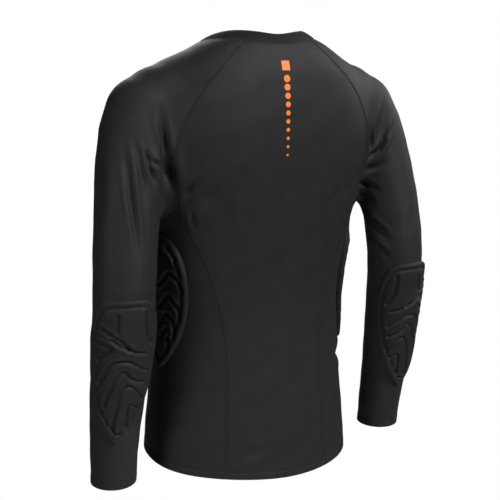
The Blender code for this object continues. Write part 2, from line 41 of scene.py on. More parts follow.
# Worn shape: the same rounded torso and arms as the solids have
torso = {  # sections from above the neck to below the hem; roundness 2 is an ellipse
    "height": [0.006, -0.003, -0.014, -0.030, -0.052, -0.087, -0.132, -0.190, -0.250, -0.330,
               -0.430, -0.540, -0.640, -0.760],
    "halfWidth": [0.030, 0.062, 0.094, 0.124, 0.152, 0.180, 0.192, 0.192, 0.185, 0.177,
                  0.168, 0.169, 0.179, 0.187],
    "front": [0.030, 0.008, -0.010, -0.028, -0.046, -0.076, -0.104, -0.124, -0.126, -0.118,
              -0.110, -0.110, -0.114, -0.116],
    "back": [0.064, 0.092, 0.108, 0.118, 0.127, 0.133, 0.136, 0.134, 0.127, 0.116,
             0.105, 0.106, 0.112, 0.116],
    "roundness": [2.20, 2.20, 2.20, 2.25, 2.40, 2.65, 2.90, 2.95, 2.70, 2.40,
                  2.25, 2.25, 2.25, 2.25],
}
arm = {  # centre line and radius of the left arm, from inside the shoulder to past the cuff
    "x": [0.148, 0.193, 0.219, 0.235, 0.244, 0.248, 0.251, 0.255, 0.256, 0.256],
    "y": [0.030, 0.037, 0.054, 0.070, 0.079, 0.080, 0.069, 0.055, 0.040, 0.030],
    "z": [-0.100, -0.122, -0.188, -0.260, -0.330, -0.400, -0.480, -0.560, -0.640, -0.720],
    "radius": [0.050, 0.057, 0.053, 0.048, 0.047, 0.046, 0.044, 0.041, 0.037, 0.035],
    "lengths": 18,
    "softJoin": 0.036,
}
cut = {  # where the panels meet and end
    "cuffHeight": -0.692,
    "neckHalfWidth": 0.095,
    "neckMiddle": 0.030,
    "neckBackReach": 0.083,
    "neckFrontReach": 0.090,
    "hemMiddle": -0.6945,
    "hemBackDrop": 0.0195,
    "hemLeftRise": 0.0135,
    "raglanHeight": [-0.050, -0.085, -0.125, -0.165, -0.208, -0.256],
    "raglanBackX": [0.098, 0.131, 0.155, 0.168, 0.170, 0.160],
    "raglanFrontX": [0.086, 0.115, 0.137, 0.150, 0.160, 0.160],
    "raglanBackAngle": 52,
    "raglanFrontAngle": -38,
    "underarmDrop": 0.038,
    "seamHeight": [-0.300, -0.340, -0.420, -0.500, -0.600, -0.740],
    "seamBackAngle": [31, 36, 43, 47, 48, 48],
    "seamFrontAngle": [-29, -33, -40, -44, -45, -45],
    "seamGap": 0.00001,
    "clothWall": 0.0013,
    "seamRoll": 0.0006,  # how far the cloth dips into a seam, and over what length
    "seamRollWidth": 0.0012,
    "seamRollStart": (0.002, 0.012),  # distances from the neckline over which the dips begin
    "hemDepth": 0.011,  # turned hems: where the stitches run and how far the double cloth stands out
    "hemRise": 0.0005,
    "hemStep": 0.0014,
    "hemGroove": 0.0004,  # how far the stitches pull the cloth in, and over what length
    "hemGrooveWidth": 0.0012,
}
sheets = {  # curved slices that cut the sleeve's rings, in the plane of x and z
    "innerX": [0.186, 0.189, 0.192, 0.195, 0.197, 0.199, 0.202, 0.207, 0.212, 0.217, 0.221, 0.224],
    "innerZ": [-0.276, -0.277, -0.279, -0.284, -0.294, -0.309, -0.335, -0.385, -0.440, -0.520,
               -0.610, -0.692],
    "outerX": [0.082, 0.124, 0.178, 0.226, 0.260, 0.280, 0.294, 0.301, 0.301, 0.302, 0.298, 0.296],
    "outerZ": [-0.014, -0.004, -0.030, -0.070, -0.130, -0.205, -0.275, -0.350, -0.430, -0.520,
               -0.610, -0.692],
    "bulge": [0.026, 0.024, 0.018, 0.010, 0.004, 0, 0, 0, 0, 0, 0, 0],
    "backShift": [0.030, 0.032, 0.036, 0.045, 0.055, 0.065, 0.072, 0.077, 0.072, 0.059, 0.042,
                  0.030],
}
steps = {  # points along each edge of the coarse grids, and how much finer the cloth is drawn
    "raglan": 7,
    "neckSide": 4,
    "underarm": 8,
    "middle": 12,
    "bodyRows": 17,
    "sleeveRings": 22,
    "exact": 8,
    "panelFine": 8,
    "sleeveFineRows": 9,
    "sleeveFineColumns": 6,
    "edgeFade": 1.5,  # coarse cells over which a fine grid is moved onto its exact edge
    "evenTurns": 0.45,  # share of the sleeve after which its columns are evenly turned
    "ringFade": 0.38,  # share of the sleeve over which the raglan ring's shape fades out
    "nearSeam": [0.03, 0.06, 0.09, 0.13, 0.18],
    "nearHem": [0.04, 0.08, 0.12, 0.16, 0.20, 0.24, 0.28, 0.32, 0.36, 0.40, 0.44, 0.48, 0.54, 0.60],
}


def smoothCurve(at, known, values):
    # cubic pieces through a table along its first axis, with slopes that follow the neighbours
    known = np.asarray(known, float)
    values = np.asarray(values, float)
    if known[0] > known[-1]:
        known = known[::-1]
        values = values[::-1]
    slopes = np.gradient(values, known, axis=0)
    at = np.clip(at, known[0], known[-1])
    cell = np.clip(np.searchsorted(known, at) - 1, 0, len(known) - 2)
    width = known[cell + 1] - known[cell]
    t = (at - known[cell]) / width
    spread = t.shape + (1,) * (values.ndim - 1)
    t = t.reshape(spread)
    width = width.reshape(spread)
    rise = values[cell] * (1 + 2 * t) * (1 - t) ** 2 + values[cell + 1] * t * t * (3 - 2 * t)
    return rise + width * t * (1 - t) * (slopes[cell] * (1 - t) - slopes[cell + 1] * t)


def unit(vectors):
    return vectors / np.linalg.norm(vectors, axis=-1, keepdims=True)


def smoothStep(low, high, value):
    t = np.clip((value - low) / (high - low), 0, 1)
    return t * t * (3 - 2 * t)


def bell(aside):
    return np.exp(-(aside**2))


def torsoReach(points):
    # level distance outside a superellipse section whose sizes follow the height
    height = points[..., 2]
    sizes = ("halfWidth", "front", "back", "roundness")
    table = np.transpose([torso[name] for name in sizes])
    halfWidth, front, back, roundness = np.moveaxis(smoothCurve(height, torso["height"], table), -1, 0)
    across = points[..., 0]
    along = points[..., 1] - (front + back) / 2
    depth = (back - front) / 2
    power = np.abs(across / halfWidth) ** roundness + np.abs(along / depth) ** roundness
    share = np.maximum(power, 1e-6) ** (1 / roundness)
    above = np.maximum(height - torso["height"][0], 0)
    return np.hypot(across, along) * (1 - 1 / share) + above


def torsoDistance(points):
    # the reach divided by the length of its slope, close to a true distance on the shoulders
    step = np.array([0, 0, 0.002])
    slope = (torsoReach(points + step) - torsoReach(points - step)) / 0.004
    return torsoReach(points) / np.sqrt(1 + slope**2)


armAt = np.linspace(0, len(arm["x"]) - 1, arm["lengths"] + 1)
armTable = np.transpose([arm["x"], arm["y"], arm["z"], arm["radius"]])
armLine = smoothCurve(armAt, np.arange(len(armTable)), armTable)


def lineDistance(points, line):
    # distance to the nearest of a line's lengths, less its radius there where it has one, and how
    # far along the line that is, from 0 to 1
    best = np.full(points.shape[:-1], 9.0)
    place = np.zeros(points.shape[:-1])
    for number, (start, end) in enumerate(zip(line[:-1], line[1:])):
        run = end[:3] - start[:3]
        away = points - start[:3]
        t = np.clip(away @ run / (run @ run), 0, 1)
        reach = np.linalg.norm(away - t[..., None] * run, axis=-1)
        if len(start) > 3:
            reach = reach - start[3] - t * (end[3] - start[3])
        nearer = reach < best
        best = np.where(nearer, reach, best)
        place = np.where(nearer, (number + t) / (len(line) - 1), place)
    return best, place


def bodyDistance(points):
    # soft union of torso and arms; below zero is inside
    points = np.concatenate([np.abs(points[..., :1]), points[..., 1:]], axis=-1)
    trunk = torsoDistance(points)
    limb = lineDistance(points, armLine)[0]
    share = np.clip(0.5 + 0.5 * (trunk - limb) / arm["softJoin"], 0, 1)
    return trunk + share * (limb - trunk) - arm["softJoin"] * share * (1 - share)


def outward(points):
    # unit normals: the slope of the distance along each axis
    tips = np.eye(3) * 0.001
    slope = [bodyDistance(points + tip) - bodyDistance(points - tip) for tip in tips]
    return unit(np.stack(slope, axis=-1))


def settle(points, rounds=3):
    # moves points near the worn shape straight onto it
    for _ in range(rounds):
        points = points - bodyDistance(points)[..., None] * outward(points)
    return points


def walk(anchor, ray, reach, distance=bodyDistance):
    # moves points along unit rays by their distance until they lie on the shape
    for _ in range(60):
        reach = reach - distance(anchor + ray * reach[..., None])
    return anchor + ray * reach[..., None]


def levelWalk(turn, centre, reach, distance=bodyDistance):
    # out from a centre, level, at a turn in radians
    ray = np.stack([np.cos(turn), np.sin(turn), 0 * turn], axis=-1)
    return walk(np.stack(centre, axis=-1), ray, 0 * turn + reach, distance)


def torsoPoint(angle, height, distance=bodyDistance):
    # the body cloth at an angle round the torso and a height
    turn, height = np.broadcast_arrays(np.radians(angle), height)
    return levelWalk(turn, [0 * height, 0 * height, height], 0.08, distance)


def armPoint(angle, height):
    # the sleeve at an angle round the arm and a height
    turn, height = np.broadcast_arrays(np.radians(angle), height)
    x, y = (smoothCurve(height, arm["z"], arm[name]) for name in ("x", "y"))
    return levelWalk(turn, [x, y, height], 0.02)


def hemHeight(angle, side=1):
    # a tilted ring: lower at the back, a little higher on the wearer's left
    turn = np.radians(angle)
    return cut["hemMiddle"] - cut["hemBackDrop"] * np.sin(turn) + side * cut["hemLeftRise"] * np.cos(turn)


def necklinePoint(angle):
    # an ellipse seen from above, lifted onto the upper side of the shape
    turn = np.radians(np.asarray(angle, float))
    depth = np.where(np.sin(turn) > 0, cut["neckBackReach"], cut["neckFrontReach"])
    x = cut["neckHalfWidth"] * np.cos(turn)
    anchor = np.stack([x, cut["neckMiddle"] + depth * np.sin(turn), 0 * turn - 0.15], axis=-1)
    return walk(anchor, np.array([0, 0, 1.0]), 0 * turn)


def placeAngle(point):
    return np.degrees(np.arctan2(point[1], point[0]))


def evenSteps(line, count):
    # the line redrawn with even steps along its length
    length = np.append(0, np.cumsum(np.linalg.norm(np.diff(line, axis=0), axis=-1)))
    at = np.linspace(0, length[-1], count + 1)
    return np.stack([np.interp(at, length, line[:, axis]) for axis in range(3)], axis=-1)


def raglanSeam(columnName, neckAngle, toward, times):
    # from the neckline down to the underarm, walked level onto the back or the front
    neck = necklinePoint(neckAngle)
    known = np.arange(len(cut["raglanHeight"]) + 1)
    at = np.linspace(0, known[-1], steps["raglan"] * times + 1)
    x = smoothCurve(at, known, [neck[0]] + cut[columnName])
    z = smoothCurve(at, known, [neck[2]] + cut["raglanHeight"])
    anchor = np.stack([x, 0 * x + cut["neckMiddle"], z], axis=-1)
    points = walk(anchor, np.array([0, toward, 0]), 0 * x)
    points[0] = neck
    return points


def raglanRing(times):
    # up the back seam, along the neckline, down the front seam and back along the underarm
    back = raglanSeam("raglanBackX", cut["raglanBackAngle"], 1.0, times)[::-1]
    front = raglanSeam("raglanFrontX", cut["raglanFrontAngle"], -1.0, times)
    turn = np.linspace(cut["raglanBackAngle"], cut["raglanFrontAngle"], steps["neckSide"] * times + 1)
    t = np.linspace(0, 1, 4 * steps["underarm"] + 1)
    angle = (1 - t) * placeAngle(front[-1]) + t * placeAngle(back[0])
    height = (1 - t) * front[-1][2] + t * back[0][2] - cut["underarmDrop"] * 4 * t * (1 - t)
    under = evenSteps(settle(torsoPoint(angle, height, torsoDistance), 12), steps["underarm"] * times)
    return np.concatenate([back, necklinePoint(turn)[1:-1], front, under[1:-1]])


def relax(grid, tube, rounds=16):
    # evens out a grid on the worn shape with its edges kept
    for _ in range(rounds):
        middle = grid[1:-1]
        even = (grid[:-2] + grid[2:] + np.roll(middle, 1, axis=1) + np.roll(middle, -1, axis=1)) / 4
        if not tube:
            even[:, [0, -1]] = middle[:, [0, -1]]
        grid = grid.copy()
        grid[1:-1] = (middle + even) / 2
        grid[1:-1] -= bodyDistance(grid[1:-1])[..., None] * outward(grid[1:-1])
    return np.concatenate([grid[:1], settle(grid[1:-1], 12), grid[-1:]])


def patch(left, right, bottom, top):
    # Coons patch: blend of the side edges plus blend of the end edges minus the corners
    across = np.linspace(0, 1, len(bottom))[None, :, None]
    up = np.linspace(0, 1, len(left))[:, None, None]
    sides = (1 - across) * left[:, None] + across * right[:, None]
    ends = (1 - up) * bottom[None] + up * top[None]
    low = (1 - across) * bottom[0] + across * bottom[-1]
    high = (1 - across) * top[0] + across * top[-1]
    return relax(settle(sides + ends - (1 - up) * low - up * high, 12), False)


def finePlaces(cells, times, lowEdge=(), highEdge=()):
    # even places along a coarse edge, with more of them close to its ends, in coarse cells
    places = np.linspace(0, cells, cells * times + 1)
    return np.unique(np.concatenate([places, lowEdge, cells - np.asarray(highEdge, float)]))


gridEdges = {  # each edge of a grid and the line beside it
    "bottom": (np.s_[:1], np.s_[1:2]),
    "top": (np.s_[-1:], np.s_[-2:-1]),
    "left": (np.s_[:, :1], np.s_[:, 1:2]),
    "right": (np.s_[:, -1:], np.s_[:, -2:-1]),
}


def refine(grid, tube, edges, rowsAt, columnsAt):
    # draws a grid finer with smooth curves both ways, then moves its edges onto the exact ones
    rows, columns = grid.shape[:2]
    fine = smoothCurve(rowsAt, np.arange(rows), grid)
    known = np.arange(columns)
    if tube:
        fine = np.concatenate([fine[:, -3:], fine, fine[:, :3]], axis=1)
        known = np.arange(-3, columns + 3)
    fine = smoothCurve(columnsAt, known, fine.swapaxes(0, 1)).swapaxes(0, 1)
    away = {
        "bottom": rowsAt[:, None, None],
        "top": rows - 1 - rowsAt[:, None, None],
        "left": columnsAt[None, :, None],
        "right": columns - 1 - columnsAt[None, :, None],
    }
    for name, edge in edges.items():
        level = name in ("bottom", "top")
        cells = (columns if tube else columns - 1) if level else rows - 1
        if tube:
            edge = np.concatenate([edge, edge[:1]])
        at = (columnsAt if level else rowsAt) * (len(edge) - 1) / cells
        exact = smoothCurve(at, np.arange(len(edge)), edge)
        exact = exact[None] if level else exact[:, None]
        fade = np.clip(1 - away[name] / steps["edgeFade"], 0, 1) ** 2
        fine = fine + fade * (exact - fine[gridEdges[name][0]])
    fine[1:-1] = settle(fine[1:-1], 2)
    return fine


def inset(grid, names):
    # draws the named edges in towards their neighbours by half of a seam's gap
    moved = grid.copy()
    for name in names:
        here, beside = gridEdges[name]
        moved[here] += cut["seamGap"] / 2 * unit(grid[beside] - grid[here])
    return moved


flip = np.array([-1, 1, 1])


def raglanParts(times):
    # the ring's seams: up the back, down the front, and along the underarm to the back again
    ring = raglanRing(times)
    count = steps["raglan"] * times
    start = count + steps["neckSide"] * times
    under = np.concatenate([ring[start + count :], ring[:1]])
    return ring[: count + 1], ring[start : start + count + 1], under


def bodySeam(name, corner, side, times):
    # from the hem up to a corner of the underarm, drawn on the wearer's left
    heights = [corner[2]] + cut["seamHeight"]
    angles = [placeAngle(corner)] + cut[name]
    at = np.linspace(hemHeight(angles[-1], side), corner[2], steps["bodyRows"] * times + 1)
    points = torsoPoint(smoothCurve(at, heights, angles), at)
    points[-1] = corner
    return points


def middleEdges(seamName, neckAngle, times):
    # the back or the front panel, by the sign of its angle on the neckline
    up, down, _ = raglanParts(times)
    raglan = up if neckAngle > 0 else down[::-1]
    left = np.concatenate([bodySeam(seamName, raglan[0], 1, times), raglan[1:]])
    right = np.concatenate([bodySeam(seamName, raglan[0], -1, times), raglan[1:]]) * flip
    halfTurn = np.sign(neckAngle) * 90
    across = np.linspace(-1, 1, steps["middle"] * times + 1)
    angle = halfTurn + across * (halfTurn - placeAngle(left[0]))
    hem = torsoPoint(angle, hemHeight(angle))
    neck = necklinePoint(halfTurn + across * (halfTurn - neckAngle))
    return {"left": left, "right": right, "bottom": hem, "top": neck}


def sideEdges(side, times):
    up, down, under = raglanParts(times)
    back = bodySeam("seamBackAngle", up[0], side, times)
    front = bodySeam("seamFrontAngle", down[-1], side, times)
    angle = np.linspace(placeAngle(back[0]), placeAngle(front[0]), steps["underarm"] * times + 1)
    hem = torsoPoint(angle, hemHeight(angle, side))
    return {"left": back, "right": front, "bottom": hem, "top": under[::-1]}


def panelGrid(makeEdges, *words):
    coarse = makeEdges(*words, 1)
    grid = patch(coarse["left"], coarse["right"], coarse["bottom"], coarse["top"])
    fine = steps["panelFine"]
    rowsAt = finePlaces(len(grid) - 1, fine, steps["nearHem"], steps["nearSeam"])
    columnsAt = finePlaces(grid.shape[1] - 1, fine, steps["nearSeam"], steps["nearSeam"])
    return refine(grid, False, makeEdges(*words, steps["exact"]), rowsAt, columnsAt)


def sleeveGrid():
    # rings where the sheets cut the shape, blended into the raglan ring at the top
    ring = raglanRing(1)
    first = {name: sheets[name][0] for name in sheets}
    run = np.array([first["outerX"] - first["innerX"], first["outerZ"] - first["innerZ"]])
    along = (ring[:, [0, 2]] - [first["innerX"], first["innerZ"]] - run / 2) @ run / np.hypot(*run)
    turns = np.unwrap(np.arctan2(ring[:, 1] - first["backShift"], along))
    even = turns[0] - 2 * np.pi * np.arange(len(turns)) / len(turns)
    positions = np.linspace(0, 1, steps["sleeveRings"])
    turn = turns + smoothStep(0, steps["evenTurns"], positions)[:, None] * (even - turns)
    known = np.linspace(0, 1, len(sheets["innerX"]))
    at = {name: smoothCurve(positions[:, None], known, sheets[name]) for name in sheets}
    spanX = at["outerX"] - at["innerX"]
    spanZ = at["outerZ"] - at["innerZ"]
    span = np.hypot(spanX, spanZ)

    def onSheet(reach):
        t = 0.5 + reach * np.cos(turn) / span
        bend = at["bulge"] * 4 * t * (1 - t) / span
        x = at["innerX"] + t * spanX + bend * spanZ
        z = at["innerZ"] + t * spanZ - bend * spanX
        return np.stack([x, at["backShift"] + reach * np.sin(turn), z], axis=-1)

    reach = 0 * turn + 0.01
    for _ in range(120):
        reach = reach - 0.8 * bodyDistance(onSheet(reach))
    rings = onSheet(reach)
    fade = np.clip(1 - positions / steps["ringFade"], 0, 1)[:, None, None] ** 2
    grid = rings + fade * (ring - rings[0])
    grid[0] = ring
    rowsAt = finePlaces(len(grid) - 1, steps["sleeveFineRows"], steps["nearSeam"], steps["nearHem"])
    columnsAt = np.arange(grid.shape[1] * steps["sleeveFineColumns"]) / steps["sleeveFineColumns"]
    return refine(relax(grid, True), True, {"bottom": raglanRing(steps["exact"])}, rowsAt, columnsAt)


backGrid = panelGrid(middleEdges, "seamBackAngle", cut["raglanBackAngle"])
frontGrid = panelGrid(middleEdges, "seamFrontAngle", cut["raglanFrontAngle"])
backGrid = inset(backGrid, ["left", "right"])
frontGrid = inset(frontGrid, ["left", "right"])
leftSideGrid = inset(panelGrid(sideEdges, 1), ["left", "right", "top"])
rightSideGrid = inset(panelGrid(sideEdges, -1), ["left", "right", "top"]) * flip
leftSleeveGrid = inset(sleeveGrid(), ["bottom"])
rightSleeveGrid = leftSleeveGrid * flip
print("worn shape drawn:", backGrid.shape, leftSideGrid.shape, leftSleeveGrid.shape)

# Folds: soft troughs between raised shoulders, along bent lines near the worn shape
folds = {
    # a row, in millimetres: half width, depth, where along it the trough is deepest, then its points
    "rows": [
        # the wearer's left sleeve
        [4.4, 4.2, 0.55, 245, 88, -150, 246, 102, -190, 245, 113, -234, 242, 121, -283, 237, 126, -345],
        [4.2, 3, 0.3, 233, 93, -145, 229, 105, -179, 226, 111, -206, 225, 114, -231, 227, 119, -272],
        [3.4, 3.4, 0.45, 219, 101, -159, 216, 106, -179, 211, 108, -203, 204, 107, -220],
        [3.4, 1.4, 0.5, 227, 100, -160, 224, 106, -178, 218, 109, -198],
        [3.6, 3.6, 0.6, 218, 103, -163, 212, 106, -181, 199, 103, -190, 190, 100, -193],
        [5, 4.8, 0.72, 190, 89, -99, 190, 97, -129, 187, 100, -153, 184, 99, -184],
        [9.2, 8.4, 0.6, 187, 100, -150, 184, 101, -180, 180, 96, -208, 176, 84, -236],
        [6, 3.4, 0.5, 196, 102, -204, 193, 99, -226, 185, 85, -251],
        # the back and the hem
        [5, 4, 0.6, 141, 109, -214, 148, 101, -229, 154, 92, -247],
        [3.6, 2.2, 0.4, 143, 97, -255, 140, 94, -275, 136, 92, -298],
        [9, 1.8, 0.4, 126, 113, -222, 122, 109, -252, 119, 105, -284],
        [11, 1.6, 0.4, 112, 118, -226, 103, 116, -258, 94, 111, -300],
        [12, 1.5, 0.3, -74, 123, -235, -78, 116, -291, -86, 105, -342, -103, 87, -432],
        [7, 1.8, 0.3, -100, 119, -236, -94, 116, -266, -92, 111, -300],
        [8, 2, 0.3, -132, 110, -228, -120, 112, -262, -112, 107, -310],
        [8, 1.4, 0.7, -113, 82, -445, -122, 77, -489, -128, 75, -539],
        [10, 3.6, 0.6, -120, 78, -548, -150, 36, -541, -171, -6, -536],
        [8, 1.1, 0.5, 86, 104, -668, 42, 111, -662, 4, 113, -656],
        # the right sleeve
        [3.4, 5.6, 0.7, -224, 90, -126, -217, 99, -151, -204, 102, -167, -193, 101, -185, -179, 97,
         -197, -166, 94, -218],
        [2.8, 1.8, 0.5, -209, 97, -138, -202, 102, -163, -196, 102, -176],
        [7.5, 3, 0.55, -205, 81, -94, -203, 92, -120, -196, 98, -142, -193, 101, -164, -185, 100, -187],
        [5, 3.4, 0.6, -214, 107, -192, -202, 105, -206, -191, 99, -214, -178, 92, -218, -164, 95, -218],
        [4.8, 3.6, 0.35, -163, 83, -250, -172, 85, -243, -184, 86, -246, -191, 93, -251, -199, 101,
         -263],
        [5.5, 3.2, 0.4, -174, 78, -252, -188, 82, -267, -194, 91, -286],
        [5.2, 4.6, 0.35, -188, 63, -282, -193, 76, -301, -198, 94, -316, -206, 106, -329, -218, 117,
         -354],
        [4.5, 3.6, 0.35, -196, 66, -330, -199, 88, -347, -206, 104, -358, -215, 115, -374],
        [3.6, 3, 0.6, -174, 101, -144, -176, 100, -167, -176, 98, -192],
        # hidden sides: the armpits' fronts, the elbows' insides, the waist and the front
        [6, 3.8, 0.35, 166, -34, -240, 178, -24, -190, 196, -12, -138],
        [5, 3.4, 0.3, 172, -30, -246, 200, -4, -214, 226, 12, -176],
        [5.5, 3, 0.35, 176, -18, -262, 204, 4, -262, 228, 26, -286],
        [7.5, 2.6, 0.25, 160, -62, -236, 132, -98, -216, 100, -118, -207],
        [8.5, 2.4, 0.3, 156, -72, -256, 128, -104, -272, 100, -116, -304],
        [5.6, 4, 0.35, -168, -32, -236, -182, -22, -186, -200, -10, -142],
        [5.2, 3.2, 0.3, -170, -30, -250, -202, -2, -222, -230, 16, -192],
        [5, 3.4, 0.35, -180, -12, -268, -206, 10, -272, -226, 28, -300],
        [7, 2.8, 0.25, -158, -66, -238, -134, -98, -222, -106, -118, -218],
        [9, 2.2, 0.3, -150, -80, -262, -126, -106, -284, -104, -114, -322],
        [5.2, 3.2, 0.5, 212, 52, -392, 238, 34, -402, 270, 42, -396],
        [6, 2.6, 0.5, 222, 40, -428, 248, 28, -436, 278, 40, -430],
        [6, 1.8, 0.5, 216, 46, -360, 240, 34, -366, 262, 38, -372],
        [5.4, 3.4, 0.5, -210, 54, -396, -238, 34, -404, -266, 40, -410],
        [6, 2.4, 0.5, -224, 38, -436, -250, 28, -430, -280, 42, -436],
        [6, 2, 0.5, -214, 50, -352, -238, 36, -362, -262, 40, -366],
        [10, 1, 0.4, 290, 62, -150, 292, 78, -230, 290, 88, -320],
        [7, 1.4, 0.5, 228, 14, -560, 250, 12, -578, 276, 22, -590],
        [7, 1.4, 0.5, -230, 14, -590, -252, 10, -600, -278, 22, -596],
        [11, 2.6, 0.3, 164, -40, -500, 130, -80, -540, 80, -104, -566],
        [10, 3, 0.3, -166, -30, -520, -130, -78, -548, -86, -100, -560],
        [12, 1.4, 0.5, 50, -112, -600, 100, -96, -622, 150, -60, -628],
        [13, 1.2, 0.4, -40, -118, -300, -46, -114, -360, -60, -106, -420],
    ],
    "lengths": 10,  # straight lengths that each line is drawn with
    "strength": 1.4,
    "shoulder": 0.40,  # how far the cloth rises beside a trough, as a share of its depth
    "shoulderPlace": 2.0,  # how far aside and how wide, in half widths of the trough
    "shoulderWidth": 0.85,
    "ripple": 0.00035,  # soft uneven waves all over
}


def bentLine(numbers):
    # a smooth curve through the points, laid onto the worn shape
    points = np.reshape(numbers, (-1, 3)) / 1000
    at = np.linspace(0, len(points) - 1, folds["lengths"] + 1)
    return settle(smoothCurve(at, np.arange(len(points)), points), 4)


foldLines = [(row[0] / 1000, row[1] / 1000, row[2], bentLine(row[3:])) for row in folds["rows"]]


def foldDepth(points):
    # each fold: a bell across, less two lower bells at its sides, faded from its deepest place
    x, y, z = points[..., 0], points[..., 1], points[..., 2]
    waves = np.sin(61 * x + 23 * z + 1.7) * np.sin(37 * z - 19 * y + 0.4)
    waves = waves + 0.6 * np.sin(113 * z + 47 * x + 31 * y)
    depth = folds["ripple"] * waves
    for width, deep, deepest, line in foldLines:
        centre = line.mean(axis=0)
        reach = np.linalg.norm(line - centre, axis=-1).max() + 4 * width
        near = np.linalg.norm(points - centre, axis=-1) < reach
        aside, along = lineDistance(points[near], line)
        aside = aside / width
        along = np.where(along < deepest, along / deepest, (1 - along) / (1 - deepest))
        shoulder = bell((aside - folds["shoulderPlace"]) / folds["shoulderWidth"])
        profile = bell(aside) - folds["shoulder"] * shoulder
        depth[near] += folds["strength"] * deep * smoothStep(0, 1, along) * profile
    return depth


# Cloth pieces
def surfaceNormals(grid, tube):
    # cross product of the grid's two directions, turned to the outside
    along = np.gradient(grid, axis=0)
    if tube:
        across = np.roll(grid, -1, axis=1) - np.roll(grid, 1, axis=1)
    else:
        across = np.gradient(grid, axis=1)
    normal = unit(np.cross(across, along))
    middle = tuple(size // 2 for size in grid.shape[:2])
    return normal * np.sign(outward(grid[middle][None])[0] @ normal[middle])


def surfaceArea(grid, tube):
    # sum over the cells of the size of the diagonals' cross product, halved
    if tube:
        grid = np.concatenate([grid, grid[:, :1]], axis=1)
    diagonals = np.cross(grid[1:, 1:] - grid[:-1, :-1], grid[1:, :-1] - grid[:-1, 1:])
    return np.linalg.norm(diagonals, axis=-1).sum() / 2


def clothMap(grid, tube):
    # cloth coordinates in metres: along the rows from their middle, and up the columns
    closed = np.concatenate([grid, grid[:, :1]], axis=1) if tube else grid
    across = np.linalg.norm(np.diff(closed, axis=1), axis=-1)
    u = np.concatenate([np.zeros((len(grid), 1)), np.cumsum(across, axis=1)], axis=1)
    u = u - u[:, -1:] / 2
    up = np.linalg.norm(np.diff(closed, axis=0), axis=-1)
    v = np.concatenate([np.zeros((1, closed.shape[1])), np.cumsum(up, axis=0)], axis=0)
    return np.stack([u, v], axis=-1)


def addObject(name, data):
    thing = bpy.data.objects.new(name, data)
    bpy.context.scene.collection.objects.link(thing)
    return thing


def makeWall(name, outer, inner, tube, cloth):
    # a closed wall of four-sided faces between an outer and an inner grid
    rows, columns = outer.shape[:2]
    count = rows * columns
    index = np.arange(count).reshape(rows, columns)
    if tube:
        index = np.column_stack([index, index[:, 0]])
    uv = clothMap(outer, tube)
    uvIndex = np.arange(uv.shape[0] * uv.shape[1]).reshape(uv.shape[:2])

    def cells(grid):
        corners = [grid[:-1, :-1], grid[:-1, 1:], grid[1:, 1:], grid[1:, :-1]]
        return np.stack(corners, axis=-1).reshape(-1, 4)

    def wallCells(grid, shift):
        # the outer side, the inner side with its numbers shifted, and the rims between them
        rims = [(grid[0], -1), (grid[-1], 1)]
        if not tube:
            rims += [(grid[:, 0], 1), (grid[:, -1], -1)]
        sides = [cells(grid), cells(grid + shift)[:, ::-1]]
        sides += [cells(np.stack([rim, rim + shift]))[:, ::turn] for rim, turn in rims]
        return np.concatenate(sides)

    faces = wallCells(index, count)
    maps = wallCells(uvIndex, 0)
    points = np.concatenate([outer.reshape(-1, 3), inner.reshape(-1, 3)])
    corners = points[faces[0]]
    normal = np.cross(corners[2] - corners[0], corners[3] - corners[1])
    if normal @ (outer - inner).reshape(-1, 3)[faces[0][0]] < 0:
        faces = faces[:, ::-1]
        maps = maps[:, ::-1]
    mesh = bpy.data.meshes.new(name)
    mesh.vertices.add(len(points))
    mesh.vertices.foreach_set("co", points.astype(np.float32).ravel())
    mesh.loops.add(faces.size)
    mesh.loops.foreach_set("vertex_index", faces.astype(np.int32).ravel())
    mesh.polygons.add(len(faces))
    mesh.polygons.foreach_set("loop_start", np.arange(0, faces.size, 4, dtype=np.int32))
    mesh.update(calc_edges=True)
    layer = mesh.uv_layers.new(name="clothMap")
    layer.data.foreach_set("uv", uv.reshape(-1, 2)[maps.ravel()].astype(np.float32).ravel())
    mesh.shade_smooth()
    mesh.set_sharp_from_angle(angle=np.radians(60))
    mesh.materials.append(cloth)
    piece = addObject(name, mesh)
    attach(piece, "root")
    return piece


def give(tree, socket, value):
    # links another node's output to a socket, or sets a constant straight on it
    if isinstance(value, bpy.types.NodeSocket):
        tree.links.new(value, socket)
    else:
        socket.default_value = value


def newNode(tree, kind, inputs):
    # a node with its inputs given by name
    node = tree.nodes.new("ShaderNode" + kind)
    for words, value in inputs.items():
        give(tree, node.inputs[words], value)
    return node


def mathNode(tree, operation, *values):
    node = tree.nodes.new("ShaderNodeMath")
    node.operation = operation
    for socket, value in zip(node.inputs, values):
        give(tree, socket, value)
    return node.outputs[0]


def mixNode(tree, share, first, second):
    # a blend of two colours
    node = tree.nodes.new("ShaderNodeMix")
    node.data_type = "RGBA"
    for socket, value in ((0, share), (6, first), (7, second)):
        give(tree, node.inputs[socket], value)
    return node.outputs[2]


def newMaterial(name):
    material = bpy.data.materials.new(name)
    material.use_nodes = True
    return material, material.node_tree, material.node_tree.nodes["Principled BSDF"]


def newGroup(name, inputs, outputs):
    # a node group with vector inputs and number outputs
    group = bpy.data.node_groups.new(name, "ShaderNodeTree")
    for words in inputs:
        group.interface.new_socket(words, in_out="INPUT", socket_type="NodeSocketVector")
    for words in outputs:
        group.interface.new_socket(words, in_out="OUTPUT", socket_type="NodeSocketFloat")
    return group, group.nodes.new("NodeGroupInput"), group.nodes.new("NodeGroupOutput")


